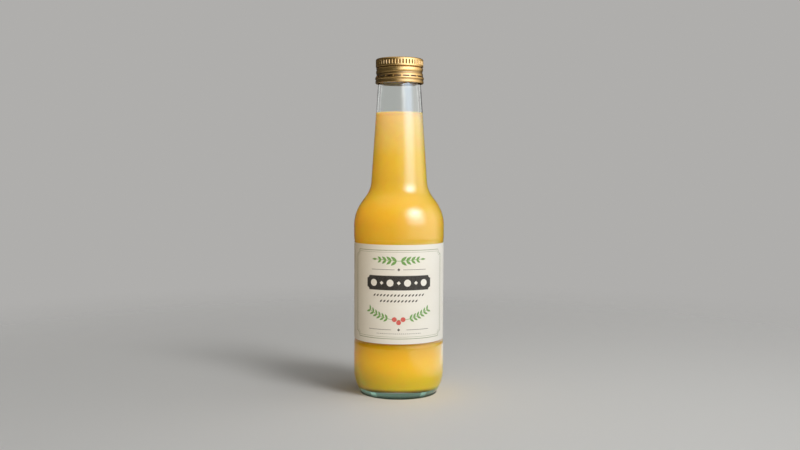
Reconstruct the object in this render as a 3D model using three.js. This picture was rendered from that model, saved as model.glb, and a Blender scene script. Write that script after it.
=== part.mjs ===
// A small long-necked juice bottle of clear glass, filled, labelled and shut with a roll-on metal cap.
// Millimetres, +Z up. The origin is the middle of the foot, so the bottle stands on z = 0.
import * as THREE from "three";

// Driving dimensions of the whole bottle
const TOTAL_HEIGHT = 204.4;
const BODY_RADIUS = 27.6;
const FILL_HEIGHT = 171.3;
const WALL = 1.9;

// Foot and heel: a small corner, then one long arc up to the body
const FOOT_CORNER = 1.5;
const HEEL_RADIUS = 22;
const HEEL_LEAN = 36;
const FOOT_WIDTH = 1.6;
const PUNT_RISE = 1;
const FLOOR_HEIGHT = 5;
const FLOOR_DOME = 0.3;
const FLOOR_CORNER = 18;

// Label panel, set back so that the body rings on both sides of it take the knocks
const PANEL_LOW = 33.2;
const PANEL_HIGH = 93.6;
const PANEL_DEPTH = 0.25;
const PANEL_STEP = 2.8;

// Shoulder and neck
const SHOULDER_START = 103.1;
const SHOULDER_RADIUS = 24.4;
const SHOULDER_SLOPE = 36;
const SHOULDER_STRAIGHT = 4.6;
const SWEEP_RADIUS = 16.7;
const NECK_TAPER = 3.9;

// Mouth of the bottle, mostly inside the cap, where the wall grows thicker up to a narrow bore
const NECK_TOP = 187.5;
const MOUTH_START = 189.5;
const MOUTH_RADIUS = 12.8;
const THROAT_LOW = 181.5;
const THROAT_HIGH = 188.5;
const THROAT_RADIUS = 11;
const BORE_START = 195;
const BORE_RADIUS = 9.6;
const LIP_RADIUS = 0.8;

// Roll-on cap, heights measured from its lower edge
const CAP_HEIGHT = 15;
const CAP_RADIUS = 14.5;
const CAP_SHEET = 0.4;
const CAP_EDGE_RADIUS = 1;
const CAP_BORE_RADIUS = 13.35;
const FLUTES = 45;
const FLUTE_DEPTH = 0.45;
const FLUTE_LOW = 10.9;
const FLUTE_HIGH = 13.6;
const NECKING_HEIGHT = 9.6;
const NECKING_DEPTH = 0.5;
const THREAD_PITCH = 3.6;
const THREAD_DEPTH = 0.45;
const THREAD_RADIUS = 14.3;
const THREAD_LOW = 4.8;
const THREAD_HIGH = 8.9;
const THREAD_ROWS = 6;
const BRIDGES = 18;
const SLIT_LOW = 3.65;
const SLIT_HIGH = 4.15;
const BAND_RADIUS = 14.85;
const BAND_GROOVE_RADIUS = 14.55;
const BAND_GROOVE_HEIGHT = 2.1;
const BAND_GROOVE_WIDTH = 1.3;
const BAND_LOW_RADIUS = 14.7;
const BAND_LOW_HEIGHT = 0.8;
const TUCK_RADIUS = 13.7;

// Paper label
const LABEL_LOW = 34;
const LABEL_HIGH = 92.8;
const LABEL_THICKNESS = 0.12;
const LABEL_SEGMENTS = 42;

// Facets round the glass, and the clearances between pieces that touch
const SEGMENTS = 48;
const SEAT_GAP = 0.3;
const SKIN_GAP = 0.1;
const MENISCUS = 0.4;

const radians = THREE.MathUtils.degToRad;
const point = (r, z) => new THREE.Vector2(r, z);

// Points along a round stretch of an outline, between two angles in degrees about its centre.
function arc(centre, radius, from, to, steps) {
  return Array.from({ length: steps + 1 }, (_, i) => {
    const angle = radians(from + ((to - from) * i) / steps);
    return point(centre.x + radius * Math.cos(angle), centre.y + radius * Math.sin(angle));
  });
}

// A shallow dome between the axis and a rim, from its middle outwards.
function dome(rimRadius, rimHeight, rise, steps) {
  return Array.from({ length: steps }, (_, i) => {
    const share = i / steps;
    return point(rimRadius * share, rimHeight + rise * (1 - share * share));
  });
}

// Foot corner and heel of the outer surface, up to the height where the body becomes straight.
function heel() {
  const lean = radians(HEEL_LEAN);
  const reach = HEEL_RADIUS - FOOT_CORNER;
  const heelCentre = point(BODY_RADIUS - HEEL_RADIUS, FOOT_CORNER + reach * Math.sin(lean));
  const footRadius = heelCentre.x + reach * Math.cos(lean);
  return {
    footRadius,
    points: [
      ...arc(point(footRadius, FOOT_CORNER), FOOT_CORNER, -90, -HEEL_LEAN, 3),
      ...arc(heelCentre, HEEL_RADIUS, -HEEL_LEAN, 0, 5).slice(1),
    ],
  };
}

// Shoulder, sweep and neck up to a height, all set in from the outer surface by the same amount.
function shoulderAndNeck(inset, topHeight, steps) {
  const slope = radians(SHOULDER_SLOPE);
  const taper = radians(NECK_TAPER);
  const roundCentre = point(BODY_RADIUS - SHOULDER_RADIUS, SHOULDER_START);
  const across = point(Math.cos(slope), Math.sin(slope));
  const along = point(-Math.sin(slope), Math.cos(slope));
  const sweepCentre = roundCentre.clone()
    .addScaledVector(across, SHOULDER_RADIUS + SWEEP_RADIUS)
    .addScaledVector(along, SHOULDER_STRAIGHT);
  const sweep = arc(sweepCentre, SWEEP_RADIUS + inset, 180 + SHOULDER_SLOPE, 180 + NECK_TAPER, steps);
  const neckFoot = sweep[sweep.length - 1];
  return [
    ...arc(roundCentre, SHOULDER_RADIUS - inset, 0, SHOULDER_SLOPE, steps),
    ...sweep,
    point(neckFoot.x - (topHeight - neckFoot.y) * Math.tan(taper), topHeight),
  ];
}

// Floor and rounded inner corner of the room inside the glass, made smaller all round by a gap.
function innerFloor(gap) {
  const radius = BODY_RADIUS - WALL - gap;
  const corner = FLOOR_CORNER - gap;
  const floor = FLOOR_HEIGHT + gap;
  return [
    ...dome(radius - corner, floor, FLOOR_DOME, 3),
    ...arc(point(radius - corner, floor + corner), corner, -90, 0, 7),
  ];
}

// Turns an outline about the axis into a solid. The outline runs from the axis, up outside, to the axis.
function turned(name, outline, material) {
  const mesh = new THREE.Mesh(new THREE.LatheGeometry(outline, SEGMENTS), material);
  mesh.name = name;
  mesh.rotation.x = Math.PI / 2;
  return mesh;
}

function glassBottle() {
  const { footRadius, points: heelPoints } = heel();
  const panelRadius = BODY_RADIUS - PANEL_DEPTH;
  const mouthHeight = TOTAL_HEIGHT - CAP_SHEET - SEAT_GAP;
  const outside = [
    ...dome(footRadius - FOOT_WIDTH, 0, PUNT_RISE, 4),
    point(footRadius - FOOT_WIDTH, 0),
    ...heelPoints,
    point(BODY_RADIUS, PANEL_LOW - PANEL_STEP),
    point(panelRadius, PANEL_LOW),
    point(panelRadius, PANEL_HIGH),
    point(BODY_RADIUS, PANEL_HIGH + PANEL_STEP),
    ...shoulderAndNeck(0, NECK_TOP, 5),
    point(MOUTH_RADIUS, MOUTH_START),
    ...arc(point(MOUTH_RADIUS - LIP_RADIUS, mouthHeight - LIP_RADIUS), LIP_RADIUS, 0, 90, 2),
  ];
  const inside = [
    ...innerFloor(0),
    ...shoulderAndNeck(WALL, THROAT_LOW, 4),
    point(THROAT_RADIUS, THROAT_HIGH),
    point(BORE_RADIUS, BORE_START),
    point(BORE_RADIUS, mouthHeight),
  ];
  const clearGlass = new THREE.MeshStandardMaterial({
    color: 0xdfeeea,
    roughness: 0.04,
    metalness: 0,
    transparent: true,
    opacity: 0.3,
  });
  return turned("glass_bottle", [...outside, ...inside.reverse()], clearGlass);
}

// Cloudy juice up to the fill level, its edge drawn a little way up the glass.
function juice() {
  const side = shoulderAndNeck(WALL + SKIN_GAP, FILL_HEIGHT + MENISCUS, 4);
  const edge = side[side.length - 1];
  const cloudyJuice = new THREE.MeshStandardMaterial({ color: 0xe3b13c, roughness: 0.35, metalness: 0 });
  return turned("juice", [
    ...innerFloor(SKIN_GAP),
    ...side,
    point(edge.x - MENISCUS * 2, FILL_HEIGHT),
    point(0, FILL_HEIGHT),
  ], cloudyJuice);
}

// Outline of the cap from the axis inside, down, round the lower edge and up outside to the axis. A point
// may carry a `dent`, which gives how far its surface is pressed in at a column, an angle and a height.
function capOutline() {
  const at = (r, z, dent) => ({ r, z, dent });
  const ceiling = CAP_HEIGHT - CAP_SHEET;
  const flute = (column) => (column % 2 ? FLUTE_DEPTH : 0);
  const thread = (column, angle, height) => {
    const turns = (height - SLIT_HIGH) / THREAD_PITCH - angle / (2 * Math.PI);
    return THREAD_DEPTH * (0.5 - 0.5 * Math.cos(2 * Math.PI * turns));
  };
  const inside = [
    at(0, ceiling),
    at(CAP_BORE_RADIUS - CAP_SHEET, ceiling),
    at(CAP_BORE_RADIUS, ceiling - CAP_SHEET),
    at(CAP_BORE_RADIUS, SLIT_HIGH + CAP_SHEET),
    at(THREAD_RADIUS - CAP_SHEET, SLIT_HIGH),
    at(BAND_RADIUS - CAP_SHEET, SLIT_LOW),
    at(BAND_LOW_RADIUS - CAP_SHEET, BAND_LOW_HEIGHT),
    at(TUCK_RADIUS, CAP_SHEET),
  ];
  const tamperBand = [
    at(TUCK_RADIUS, 0),
    at((TUCK_RADIUS + BAND_LOW_RADIUS) / 2, CAP_SHEET / 2),
    at(BAND_LOW_RADIUS, BAND_LOW_HEIGHT),
    at(BAND_LOW_RADIUS, BAND_GROOVE_HEIGHT - BAND_GROOVE_WIDTH / 2),
    at(BAND_GROOVE_RADIUS, BAND_GROOVE_HEIGHT),
    at(BAND_RADIUS, BAND_GROOVE_HEIGHT + BAND_GROOVE_WIDTH / 2),
    at(BAND_RADIUS, SLIT_LOW),
    at(THREAD_RADIUS + CAP_SHEET / 2, SLIT_HIGH),
  ];
  const threadRows = Array.from({ length: THREAD_ROWS }, (_, i) =>
    at(THREAD_RADIUS, THREAD_LOW + ((THREAD_HIGH - THREAD_LOW) * i) / (THREAD_ROWS - 1), thread),
  );
  const edgeCentre = point(CAP_RADIUS - CAP_EDGE_RADIUS, CAP_HEIGHT - CAP_EDGE_RADIUS);
  const head = [
    at(CAP_RADIUS - NECKING_DEPTH, NECKING_HEIGHT),
    at(CAP_RADIUS, NECKING_HEIGHT + NECKING_DEPTH),
    at(CAP_RADIUS, FLUTE_LOW, flute),
    at(CAP_RADIUS, FLUTE_HIGH, flute),
    ...arc(edgeCentre, CAP_EDGE_RADIUS, 0, 90, 3).map((p) => at(p.x, p.y)),
    at(0, CAP_HEIGHT),
  ];
  return [...inside, ...tamperBand, ...threadRows, ...head];
}

// The cap is wrapped round the axis column by column. The slit above the tamper band is left open right
// through the sheet, except at the bridges that hold the band.
function cap() {
  const columns = 2 * FLUTES;
  const columnsPerBridge = columns / BRIDGES;
  const outline = capOutline();
  const innerSlit = outline.findIndex((p) => p.z === SLIT_HIGH);
  const outerSlit = outline.findLastIndex((p) => p.z === SLIT_LOW);
  const isOpen = (column) => (column + columns) % columnsPerBridge !== 0;

  const positions = [];
  for (let column = 0; column < columns; column += 1) {
    const angle = (2 * Math.PI * column) / columns;
    for (const { r, z, dent } of outline) {
      const radius = r - (dent ? dent(column, angle, z) : 0);
      positions.push(radius * Math.sin(angle), -radius * Math.cos(angle), z);
    }
  }
  // A point of the outline that lies on the axis is the same corner in every column.
  const corner = (column, row) => (outline[row].r === 0 ? 0 : column % columns) * outline.length + row;
  const indices = [];
  const face = (a, b, c, d) => {
    if (a !== b) indices.push(a, b, c);
    if (c !== d) indices.push(a, c, d);
  };

  for (let column = 0; column < columns; column += 1) {
    const next = column + 1;
    for (let row = 0; row + 1 < outline.length; row += 1) {
      if (isOpen(column) && (row === innerSlit || row === outerSlit)) continue;
      face(corner(column, row), corner(next, row), corner(next, row + 1), corner(column, row + 1));
    }
    if (!isOpen(column)) continue;
    const outer = (c, high) => corner(c, outerSlit + high);
    const inner = (c, high) => corner(c, innerSlit + 1 - high);
    face(outer(column, 0), outer(next, 0), inner(next, 0), inner(column, 0));
    face(outer(next, 1), outer(column, 1), inner(column, 1), inner(next, 1));
    if (!isOpen(column - 1)) face(outer(column, 1), outer(column, 0), inner(column, 0), inner(column, 1));
    if (!isOpen(next)) face(outer(next, 0), outer(next, 1), inner(next, 1), inner(next, 0));
  }

  const geometry = new THREE.BufferGeometry();
  geometry.setAttribute("position", new THREE.Float32BufferAttribute(positions, 3));
  geometry.setIndex(indices);
  geometry.computeVertexNormals();
  const goldAluminium = new THREE.MeshStandardMaterial({ color: 0xc59d46, roughness: 0.32, metalness: 1 });
  const mesh = new THREE.Mesh(geometry, goldAluminium);
  mesh.name = "cap";
  mesh.position.z = TOTAL_HEIGHT - CAP_HEIGHT;
  return mesh;
}

// The label wraps round the panel and leaves a strip of glass bare at the back.
function label() {
  const segmentAngle = 360 / SEGMENTS;
  const halfWrap = radians((LABEL_SEGMENTS * segmentAngle) / 2);
  const front = -Math.PI / 2;
  const innerRadius = BODY_RADIUS - PANEL_DEPTH + SKIN_GAP;
  const section = new THREE.Shape();
  section.absarc(0, 0, innerRadius + LABEL_THICKNESS, front - halfWrap, front + halfWrap, false);
  section.absarc(0, 0, innerRadius, front + halfWrap, front - halfWrap, true);
  const geometry = new THREE.ExtrudeGeometry(section, {
    depth: LABEL_HIGH - LABEL_LOW,
    bevelEnabled: false,
    curveSegments: LABEL_SEGMENTS / 2,
  });
  const paper = new THREE.MeshStandardMaterial({ color: 0xe9e2d8, roughness: 0.75, metalness: 0 });
  const mesh = new THREE.Mesh(geometry, paper);
  mesh.name = "label";
  mesh.position.z = LABEL_LOW;
  return mesh;
}

const juiceBottle = new THREE.Group();
juiceBottle.add(glassBottle(), juice(), cap(), label());

export default juiceBottle;
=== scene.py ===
# %% [markdown]
# # A small glass bottle of cloudy juice
#
# The real thing is a long-necked bottle of clear glass, about 20 cm tall and 5.5 cm wide. Cloudy yellow
# juice fills it up into the neck, a gold roll-on metal cap shuts it, and a pale paper label wraps it.
#
# The measured solids of the bottle come first, as a fixed frame. Everything below dresses them: each piece
# is built finer than its solid but in the same place, and gets a finish of its own. The frame also gives
# the main sizes that the pieces are worked out from.

# %% Load the measured parts
import math

import bmesh
import bpy
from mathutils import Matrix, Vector


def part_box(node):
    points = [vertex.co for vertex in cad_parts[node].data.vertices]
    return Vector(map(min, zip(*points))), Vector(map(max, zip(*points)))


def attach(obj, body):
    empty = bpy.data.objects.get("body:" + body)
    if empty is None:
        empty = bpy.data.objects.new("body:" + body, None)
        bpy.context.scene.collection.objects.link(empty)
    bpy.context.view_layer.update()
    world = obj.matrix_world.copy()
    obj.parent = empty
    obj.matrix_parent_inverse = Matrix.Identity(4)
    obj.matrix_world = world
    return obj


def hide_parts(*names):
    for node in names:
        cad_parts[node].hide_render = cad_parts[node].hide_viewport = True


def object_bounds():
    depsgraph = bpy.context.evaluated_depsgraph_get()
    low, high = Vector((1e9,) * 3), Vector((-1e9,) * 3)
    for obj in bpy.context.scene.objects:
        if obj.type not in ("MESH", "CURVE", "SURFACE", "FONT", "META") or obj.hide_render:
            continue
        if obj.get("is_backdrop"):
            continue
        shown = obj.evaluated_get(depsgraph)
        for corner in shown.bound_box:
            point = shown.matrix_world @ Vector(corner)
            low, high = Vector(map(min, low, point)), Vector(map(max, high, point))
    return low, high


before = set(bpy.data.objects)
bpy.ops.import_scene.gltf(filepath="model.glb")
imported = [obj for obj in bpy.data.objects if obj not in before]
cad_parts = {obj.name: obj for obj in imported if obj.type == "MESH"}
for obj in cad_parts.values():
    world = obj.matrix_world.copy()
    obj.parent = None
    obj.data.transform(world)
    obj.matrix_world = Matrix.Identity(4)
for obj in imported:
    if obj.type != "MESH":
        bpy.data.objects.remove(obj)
cad_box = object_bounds()
MM = 0.001


def span(node):
    """The lowest and highest corner of a measured part, in millimetres."""
    low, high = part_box(node)
    return low / MM, high / MM


def add_object(name, data):
    """Put a new object with the given mesh, light or camera into the scene."""
    made = bpy.data.objects.new(name, data)
    bpy.context.scene.collection.objects.link(made)
    return made


glass_high = span("glass_bottle")[1]
juice_high = span("juice")[1]
cap_low, cap_high = span("cap")
label_low, label_high = span("label")
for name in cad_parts:
    low, high = span(name)
    print(f"{name}: {high.x - low.x:.1f} mm wide, from {low.z:.1f} to {high.z:.1f} mm high")

# %% [markdown]
# ## The camera
#
# The picture to match was taken from a little above the middle of the bottle, half a metre away, tilted
# down by three degrees. The curves of the label's edges and of the foot are ellipses whose flatness gives
# the height and the distance, so the values here were worked out from them.

# %% Place the camera
CAMERA_AWAY = 0.5693
CAMERA_HEIGHT = 0.1334
CAMERA_ASIDE = 0.0005
CAMERA_TILT = math.radians(3.04)
CAMERA_ROLL = math.radians(-0.2)
LENS_MM = 41.64
SENSOR_MM = 36

lens = bpy.data.cameras.new("Camera")
lens.lens = LENS_MM
lens.sensor_width = SENSOR_MM
camera = add_object("Camera", lens)
camera.location = (CAMERA_ASIDE, -CAMERA_AWAY, CAMERA_HEIGHT)
camera.rotation_euler = (math.radians(90) - CAMERA_TILT, CAMERA_ROLL, 0)
bpy.context.scene.camera = camera
print(f"camera {camera.location.length * 100:.0f} cm from the foot, lens {LENS_MM} mm")

# %% [markdown]
# ## Building a node tree
#
# Every finish below is a small tree of shader nodes. Adding a node, setting its values and linking it takes
# several lines each time, so one helper does all three, and others use it for the commonest kinds. Inputs
# are named as in Blender's own panels: a plain value is set on the socket, and another node's output is
# linked to it.

# %% Helpers for shader nodes
def feed(tree, socket, value):
    """Link another node's output to a socket, or set a plain value on it."""
    if isinstance(value, bpy.types.NodeSocket):
        tree.links.new(value, socket)
    else:
        socket.default_value = value


def add_node(tree, kind, settings=None, **inputs):
    """Add a shader node. Underscores in an input's name stand for spaces."""
    made = tree.nodes.new(kind)
    for key, value in (settings or {}).items():
        setattr(made, key, value)
    for key, value in inputs.items():
        feed(tree, made.inputs[key.replace("_", " ")], value)
    return made


def add_math(tree, operation, first, second=0.0):
    """Add a Math node for two values, each a number or another node's output."""
    made = add_node(tree, "ShaderNodeMath", {"operation": operation})
    for socket, value in zip(made.inputs, (first, second)):
        feed(tree, socket, value)
    return made.outputs[0]


def soft_range(tree, value, start, end, low=0.0, high=1.0):
    """Add a node that goes softly from low to high while a value goes from start to end."""
    made = add_node(tree, "ShaderNodeMapRange", {"interpolation_type": "SMOOTHSTEP"}, Value=value,
                    From_Min=start, From_Max=end, To_Min=low, To_Max=high)
    return made.outputs["Result"]


def mix_colours(tree, factor, first, second):
    """Add a Mix node for two colours, each a plain (r, g, b) or another node's output."""
    # A Mix node has sockets for every data type. For colours they are 0, 6 and 7, and output 2.
    made = add_node(tree, "ShaderNodeMix", {"data_type": "RGBA"})
    feed(tree, made.inputs[0], factor)
    for index, colour in ((6, first), (7, second)):
        feed(tree, made.inputs[index], (*colour, 1) if isinstance(colour, tuple) else colour)
    return made.outputs[2]


def new_material(name, **shader_inputs):
    """A material with one Principled shader, returned with its node tree and that shader."""
    material = bpy.data.materials.new(name)
    material.use_nodes = True
    tree = material.node_tree
    shader = tree.nodes["Principled BSDF"]
    for key, value in shader_inputs.items():
        shader.inputs[key.replace("_", " ")].default_value = value
    return material, tree, shader


print("helpers for shader nodes are ready")

# %% [markdown]
# ## The table
#
# The bottle stands on a plain pale floor. A floor with an edge would show a horizon line behind the neck,
# so its material fades into the background with the distance from the bottle, like a paper sweep in a
# studio. Where glass meets a table there is a thin dark line of shadow. The glass will cast no shadow here,
# so that contact shadow is painted into the floor's colour, as a dark ring under the foot.

# %% Lay the floor
FLOOR_RADIUS = 3.0
FLOOR_CORNERS = 96
FLOOR_FADE_START = 0.12
FLOOR_FADE_END = 0.6
FLOOR_COLOUR = (0.76, 0.76, 0.745)
# Painted contact shadow: a dark ring in the floor's colour under the foot, because the glass casts none.
CONTACT_SHADOW_COLOUR = (0.03, 0.06, 0.045)
CONTACT_SHADOW_RADIUS = 22.6 * MM
CONTACT_SHADOW_HALF = 1.5 * MM

floor_mesh = bpy.data.meshes.new("Floor")
disc = bmesh.new()
bmesh.ops.create_circle(disc, cap_ends=True, segments=FLOOR_CORNERS, radius=FLOOR_RADIUS)
disc.to_mesh(floor_mesh)
disc.free()
floor = add_object("Floor", floor_mesh)

floor_material, tree, shader = new_material("Pale floor", Roughness=0.7)
place = add_node(tree, "ShaderNodeTexCoord").outputs["Object"]
distance = add_node(tree, "ShaderNodeVectorMath", {"operation": "LENGTH"}, Vector=place).outputs["Value"]
# The painted shadow ring is darkest at the contact radius and fades out on both sides.
off_shadow_ring = add_math(tree, "ABSOLUTE", add_math(tree, "SUBTRACT", distance, CONTACT_SHADOW_RADIUS))
clear_of_painted_shadow = soft_range(tree, off_shadow_ring, CONTACT_SHADOW_HALF / 4, CONTACT_SHADOW_HALF)
floor_colour = mix_colours(tree, clear_of_painted_shadow, CONTACT_SHADOW_COLOUR, FLOOR_COLOUR)
tree.links.new(floor_colour, shader.inputs["Base Color"])
fade = soft_range(tree, distance, FLOOR_FADE_START, FLOOR_FADE_END, low=1.0, high=0.0)
tree.links.new(fade, shader.inputs["Alpha"])
floor_mesh.materials.append(floor_material)
floor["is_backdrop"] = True
print(f"floor fades out between {FLOOR_FADE_START} and {FLOOR_FADE_END} m from the bottle, "
      f"with a dark ring {2 * CONTACT_SHADOW_RADIUS / MM:.0f} mm across under its foot")

# %% [markdown]
# ## The light
#
# The light on the real bottle is one tall soft window of light to the front right, brightest in its middle:
# it shows as a long pale streak on the neck and as two round spots on the shoulder. An area light copies
# it. Left plain it would mirror in the glass as a hard-edged card, so its strength fades towards its
# border.
#
# One light can't suit every surface. A photographer adds cards for that, and so does this scene. The window
# lights the bottle. The table has a smaller one, further right and higher up, that points the shadow to the
# left. The window's mirror images come from two cards, one for the glass and one for the metal, both bluish
# like daylight. A wide card on the right lays a thin veil over the glass, and one that lies on the table does
# the same low down, where the glass mirrors the table. Two narrow ones behind draw light lines along the
# edges of the empty neck. At the front left are a warm fill for the shadow side and a warmer one for the
# juice. A small one at the far left brightens the rim of the juice, a tiny faint one under the foot does what
# a bright table does to the juice above it, and a last card lights the back.

# %% Hang the window of light
AIM = Vector((0, 0, 0.1))
HOT_SPOT = (0.5, 0.65)
HOT_SIZE = (0.135, 0.11)


def hang_card(name, around, up, size, watts, away=1.0):
    """An area light that faces the bottle, placed by two angles in degrees: to the right, and up."""
    card = bpy.data.lights.new(name, "AREA")
    card.shape = "RECTANGLE"
    card.size, card.size_y = size
    card.energy = watts
    around, up = math.radians(around), math.radians(up)
    direction = Vector((math.sin(around) * math.cos(up), -math.cos(around) * math.cos(up), math.sin(up)))
    lamp = add_object(name, card)
    lamp.location = AIM + direction * away
    lamp.rotation_euler = direction.to_track_quat("Z", "Y").to_euler()
    lamp.visible_camera = False
    return lamp


def soften(lamp, hot_gain, soft_border=0.5):
    """Fade a card towards its border and make one round spot on it brighter."""
    lamp.data.use_nodes = True
    tree = lamp.data.node_tree
    emission = next(n for n in tree.nodes if n.type == "EMISSION")
    place = add_node(tree, "ShaderNodeNewGeometry").outputs["Parametric"]
    parts = add_node(tree, "ShaderNodeSeparateXYZ", Vector=place)
    strength, spot = 1.0, 0.0
    for axis in (0, 1):
        off_middle = add_math(tree, "ABSOLUTE", add_math(tree, "SUBTRACT", parts.outputs[axis], 0.5))
        border = add_node(tree, "ShaderNodeMapRange", {"interpolation_type": "SMOOTHERSTEP"},
                          Value=off_middle, From_Min=0.5 - soft_border, From_Max=0.5, To_Min=1.0, To_Max=0.0)
        strength = add_math(tree, "MULTIPLY", border.outputs["Result"], strength)
        off_spot = add_math(tree, "SUBTRACT", parts.outputs[axis], HOT_SPOT[axis])
        off_spot = add_math(tree, "POWER", add_math(tree, "DIVIDE", off_spot, HOT_SIZE[axis]), 2)
        spot = add_math(tree, "ADD", off_spot, spot)
    glow = add_math(tree, "EXPONENT", add_math(tree, "MULTIPLY", spot, -0.5))
    strength = add_math(tree, "ADD", add_math(tree, "MULTIPLY", glow, hot_gain), strength)
    tree.links.new(strength, emission.inputs["Strength"])


window = hang_card("Window", around=24, up=31, size=(0.78, 1.1), watts=22)
soften(window, hot_gain=0.2)
window.visible_glossy = False
floor_window = hang_card("Window for the floor", around=46, up=48, size=(0.5, 0.5), watts=18)
soften(floor_window, hot_gain=0.0)
floor_window.visible_glossy = False
print("window hung with its middle", round(window.location.z, 2), "m above the floor")

# %% Hang the cards
TABLE_VEIL_HEIGHT = 0.004
FOOT_CARD_HEIGHT = 0.0005

window_shine = hang_card("Window shine", around=47, up=24, size=(1.5, 1.4), watts=40)
window_shine.data.color = (0.76, 0.95, 1.17)
metal_shine = hang_card("Metal shine", around=40, up=12, size=(2.8, 1.8), watts=14)
metal_shine.data.color = (0.84, 1.0, 1.7)
glass_veil = hang_card("Glass veil", around=85, up=8, size=(1.8, 1.8), watts=12)
table_veil = hang_card("Table veil", around=88, up=0, size=(0.27, 0.4), watts=0.36, away=0.17)
table_veil.data.color = (0.5, 0.85, 1.2)
for card, hot_gain in ((window_shine, 1.6), (metal_shine, 2.2), (glass_veil, 0.0)):
    soften(card, hot_gain)
soften(table_veil, hot_gain=0.0, soft_border=0.2)
for card in (window_shine, metal_shine, glass_veil, table_veil):
    card.visible_transmission = False

edge_lights = [hang_card("Edge light", around=side * 152, up=25, size=(0.14, 0.8), watts=0.2)
               for side in (-1, 1)]
for card in edge_lights:
    card.visible_glossy = False

fill_card = hang_card("Fill", around=-35, up=50, size=(0.5, 0.5), watts=1.05, away=0.4)
fill_card.data.color = (1.0, 0.71, 0.34)
juice_fill = hang_card("Juice fill", around=-35, up=50, size=(0.5, 0.5), watts=1.1, away=0.4)
juice_fill.data.color = (1.0, 0.61, 0.2)
rim_card = hang_card("Rim fill", around=-72, up=40, size=(0.15, 0.15), watts=0.15, away=0.23)
rim_card.data.color = (1.0, 0.78, 0.3)
foot_card = hang_card("Foot fill", around=15, up=0, size=(0.04, 0.036), watts=0.0007, away=0.004)
foot_card.data.color = (1.0, 0.78, 0.8)
back_card = hang_card("Back fill", around=175, up=15, size=(1.2, 1.2), watts=5)
for card, lying_height in ((table_veil, TABLE_VEIL_HEIGHT), (foot_card, FOOT_CARD_HEIGHT)):
    card.location.z = lying_height
    card.rotation_euler = (math.pi, 0, 0)
for card in (fill_card, juice_fill, rim_card, foot_card, back_card):
    card.visible_glossy = False
    card.visible_transmission = False
print("cards hung: two shines, two veils, two edge lights and five fills")

# %% [markdown]
# ## The room
#
# Glass and metal show the room more than themselves. An evenly bright room would make clear glass vanish
# and turn the gold cap flat. So the room that lights the pieces and mirrors in them is dim, with a broad
# glow on the window's side and one overhead that shows only in mirror images. The camera, also where it
# looks through the glass, sees an even pale wall instead. A Light Path node tells these rays apart.

# %% Light the room
ROOM_SEEN = 0.43
ROOM_DIM = 0.06
ROOM_COLOUR = (1.0, 0.985, 0.96)

room = bpy.data.worlds.new("Room")
bpy.context.scene.world = room
room.use_nodes = True
tree = room.node_tree
sky = tree.nodes["Background"]
sky.inputs["Color"].default_value = (*ROOM_COLOUR, 1)
towards = add_node(tree, "ShaderNodeTexCoord").outputs["Generated"]


def glow_from(direction, start, gain):
    """A broad glow in the room about one direction, with the cosine at which it starts."""
    facing = add_node(tree, "ShaderNodeVectorMath", {"operation": "DOT_PRODUCT"}, Vector=towards)
    facing.inputs[1].default_value = Vector(direction).normalized()
    return soft_range(tree, facing.outputs["Value"], start, 1.0, high=gain)


window_side = glow_from((0.88, -0.45, 0.15), start=0.1, gain=1.1)
overhead = glow_from((0.0, 0.0, 1.0), start=0.6, gain=0.6)
rays = add_node(tree, "ShaderNodeLightPath").outputs
overhead = add_math(tree, "MULTIPLY", overhead, rays["Is Glossy Ray"])
lit = add_math(tree, "ADD", add_math(tree, "ADD", window_side, overhead), ROOM_DIM)
seen = add_math(tree, "MAXIMUM", rays["Is Camera Ray"], rays["Is Transmission Ray"])
level = add_node(tree, "ShaderNodeMix", {"data_type": "FLOAT"}, Factor=seen, A=lit, B=ROOM_SEEN)
tree.links.new(level.outputs["Result"], sky.inputs["Strength"])
bpy.context.scene.view_settings.view_transform = "Standard"
print("room of", ROOM_DIM, "with a glow on the right and one overhead, seen as a wall of", ROOM_SEEN)

# %% [markdown]
# ## Effects that several finishes share
#
# Paper, ink, lacquer, glass and juice are all slightly uneven. The same two effects with other values serve
# them all: broad soft patches, and a fine grain. Written once as node groups, they are placed in each
# material. A group only hands out a mask or a height, and the shader itself stays in the material.

# %% Node groups for patches and grain
NOISE_REACH = (0.3, 0.7)


def noise_group(name, detail, roughness):
    """A node group with noise of a given size in metres, spread to fill the range from 0 to 1."""
    group = bpy.data.node_groups.new(name, "ShaderNodeTree")
    group.interface.new_socket("Size", in_out="INPUT", socket_type="NodeSocketFloat")
    group.interface.new_socket("Stretch", in_out="INPUT", socket_type="NodeSocketVector")
    group.interface.new_socket("Mask", in_out="OUTPUT", socket_type="NodeSocketFloat")
    entry = group.nodes.new("NodeGroupInput")
    leave = group.nodes.new("NodeGroupOutput")
    place = add_node(group, "ShaderNodeTexCoord").outputs["Object"]
    stretched = add_node(group, "ShaderNodeVectorMath", {"operation": "DIVIDE"}, Vector=place)
    group.links.new(entry.outputs["Stretch"], stretched.inputs[1])
    noise = add_node(group, "ShaderNodeTexNoise", Vector=stretched.outputs[0], Detail=detail,
                     Roughness=roughness, Scale=add_math(group, "DIVIDE", 1.0, entry.outputs["Size"]))
    group.links.new(soft_range(group, noise.outputs["Fac"], *NOISE_REACH), leave.inputs["Mask"])
    return group


soft_patches = noise_group("Soft patches", detail=2.0, roughness=0.45)
fine_grain = noise_group("Fine grain", detail=6.0, roughness=0.7)


def use_group(tree, group, size, stretch=(1, 1, 1)):
    """Place a shared noise group in a material and return its mask."""
    placed = add_node(tree, "ShaderNodeGroup", {"node_tree": group}, Size=size, Stretch=stretch)
    return placed.outputs["Mask"]


print("shared groups:", soft_patches.name, "and", fine_grain.name)

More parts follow.
